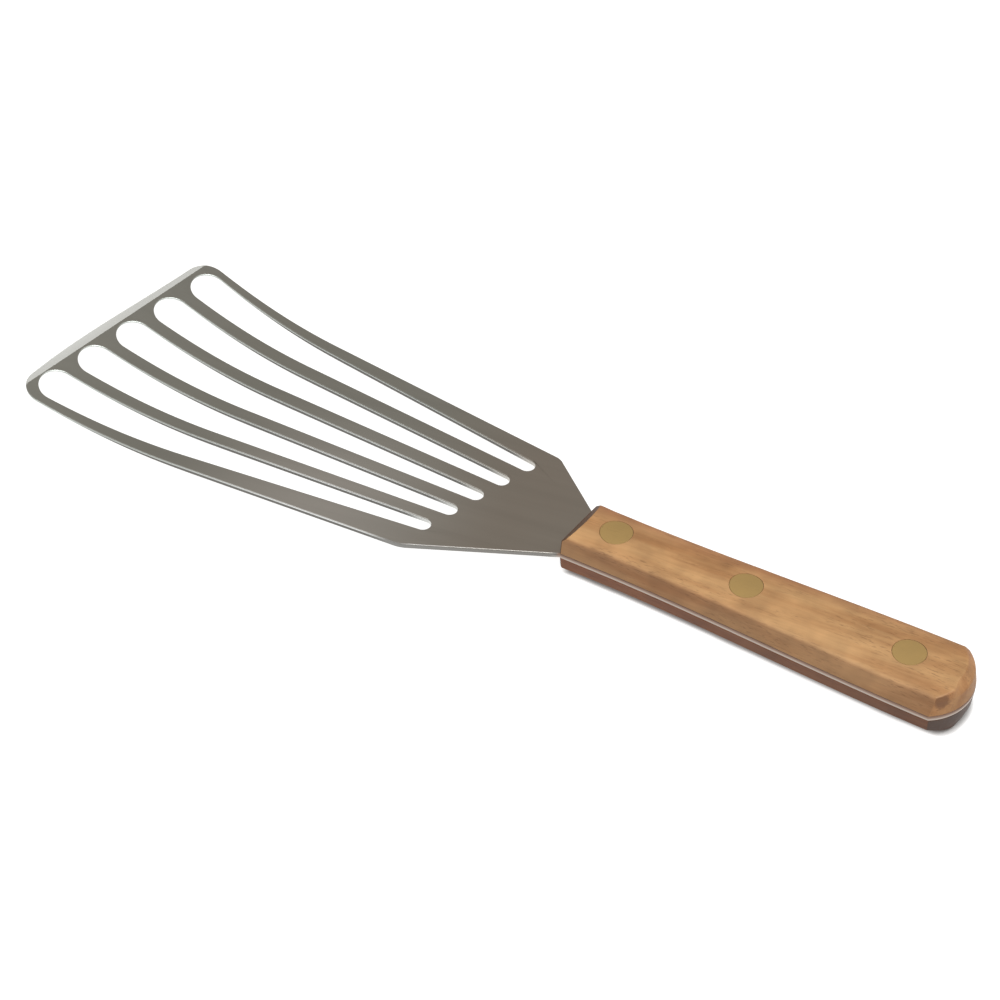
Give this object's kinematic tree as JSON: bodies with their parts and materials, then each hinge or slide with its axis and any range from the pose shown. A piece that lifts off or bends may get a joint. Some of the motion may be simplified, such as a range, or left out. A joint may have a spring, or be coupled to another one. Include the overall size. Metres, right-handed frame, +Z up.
{
  "type": "slotted turner",
  "caption": "Slotted fish turner: a springy flared steel blade with an upswept oblique tip and long slots, its full tang riveted between two flat wooden scales.",
  "frame": {"origin": "middle of the bounding box, at the level of the surface that the handle lies on", "axes": "+X from the handle to the blade's tip, +Y to the user's left, where the blade is longer, +Z up through the blade's hollow side"},
  "size_m": [0.2776, 0.0748, 0.0147],
  "materials": {
    "steel": "satin, fine ground lines",
    "wood": "oiled, open grain",
    "brass": "satin, sanded flush with the wood"
  },
  "bodies": {
    "root": {"blade": "steel", "upper_scale": "wood", "lower_scale": "wood", "front_rivet_post": "brass", "front_rivet_sleeve": "brass", "middle_rivet_post": "brass", "middle_rivet_sleeve": "brass", "rear_rivet_post": "brass", "rear_rivet_sleeve": "brass"}
  },
  "joints": []
}
